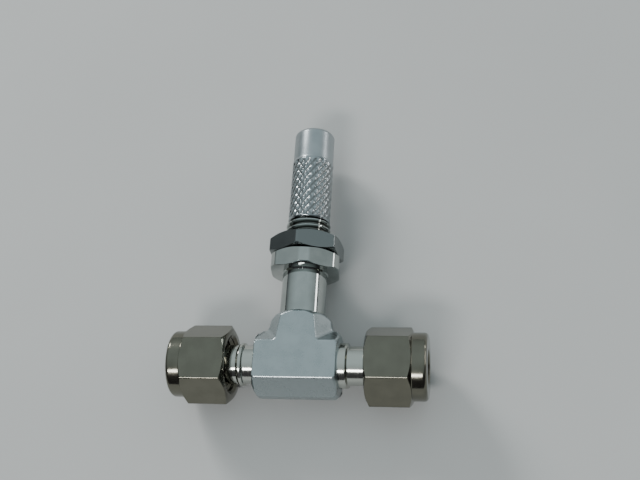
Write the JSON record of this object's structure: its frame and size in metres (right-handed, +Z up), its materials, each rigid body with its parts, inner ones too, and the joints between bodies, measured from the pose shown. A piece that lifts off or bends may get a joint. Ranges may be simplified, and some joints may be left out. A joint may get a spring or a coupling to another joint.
{
  "type": "needle valve",
  "caption": "Inline fine-metering needle valve with a knurled handle, a panel-mounting neck and a two-ferrule tube nut at each end.",
  "frame": {"origin": "the middle of the footprint on the surface that the valve lies on, on its back; the crossing of the tube axis and the stem axis is at (0, -0.0225, 0.00822) m", "axes": "+X along the tube axis from inlet to outlet, +Y along the stem axis from the body to the handle, +Z up, out of the front flat of the body"},
  "size_m": [0.0526, 0.0616, 0.0164],
  "materials": {
    "satin_steel": "fine satin stainless steel on the milled body",
    "turned_steel": "fine turned stainless steel with faint circular tool marks",
    "nut_steel": "smooth drawn stainless steel flats with turned bevels",
    "knurled_steel": "diamond-knurled stainless steel grip with a smooth polished end",
    "hard_steel": "ground and polished hardened steel",
    "bronze": "plain machined bronze",
    "plated_gasket": "soft silver-plated metal",
    "black_rubber": "smooth black fluoroelastomer",
    "white_ptfe": "matt white fluoropolymer",
    "black_oxide": "black oxide on alloy steel"
  },
  "bodies": {
    "body": {"valve_body": "satin_steel", "bonnet": "turned_steel", "bonnet_gasket": "plated_gasket", "stem_guide": "turned_steel", "drive_nut": "bronze", "retaining_ring": "hard_steel"},
    "panel_nut": {"panel_nut": "nut_steel"},
    "stem": {"stem": "turned_steel", "needle": "hard_steel", "stem_o_ring": "black_rubber", "backup_ring": "white_ptfe"},
    "handle": {"handle": "knurled_steel", "handle_set_screw": "black_oxide", "spindle": "turned_steel", "swivel_ring": "hard_steel", "thrust_ball": "hard_steel"},
    "inlet_ferrules": {"inlet_front_ferrule": "turned_steel", "inlet_back_ferrule": "turned_steel"},
    "inlet_nut": {"inlet_nut": "nut_steel"},
    "outlet_ferrules": {"outlet_front_ferrule": "turned_steel", "outlet_back_ferrule": "turned_steel"},
    "outlet_nut": {"outlet_nut": "nut_steel"}
  },
  "joints": [
    {"name": "stem_lift", "type": "slide", "parent": "body", "child": "stem", "axis": [0, 1, 0], "range_m": [0, 0.00508]},
    {"name": "handle_turn", "type": "hinge", "parent": "stem", "child": "handle", "pos_m": [0, 0.01749, 0.00822], "axis": [0, 1, 0], "range_deg": [0, 2880]},
    {"name": "panel_nut_travel", "type": "slide", "parent": "body", "child": "panel_nut", "axis": [0, 1, 0], "range_m": [0, 0.0034]},
    {"name": "inlet_ferrule_travel", "type": "slide", "parent": "body", "child": "inlet_ferrules", "axis": [-1, 0, 0], "range_m": [0, 0.00508]},
    {"name": "inlet_nut_turn", "type": "hinge", "parent": "inlet_ferrules", "child": "inlet_nut", "pos_m": [-0.02, -0.02251, 0.00822], "axis": [-1, 0, 0], "range_deg": [0, 1440]},
    {"name": "outlet_ferrule_travel", "type": "slide", "parent": "body", "child": "outlet_ferrules", "axis": [1, 0, 0], "range_m": [0, 0.00508]},
    {"name": "outlet_nut_turn", "type": "hinge", "parent": "outlet_ferrules", "child": "outlet_nut", "pos_m": [0.02, -0.02251, 0.00822], "axis": [1, 0, 0], "range_deg": [0, 1440]}
  ],
  "couplings": [
    {"joint": "stem_lift", "follows": "handle_turn", "m_per_rad": 0.00010106},
    {"joint": "inlet_ferrule_travel", "follows": "inlet_nut_turn", "m_per_rad": 0.00020213},
    {"joint": "outlet_ferrule_travel", "follows": "outlet_nut_turn", "m_per_rad": 0.00020213}
  ]
}
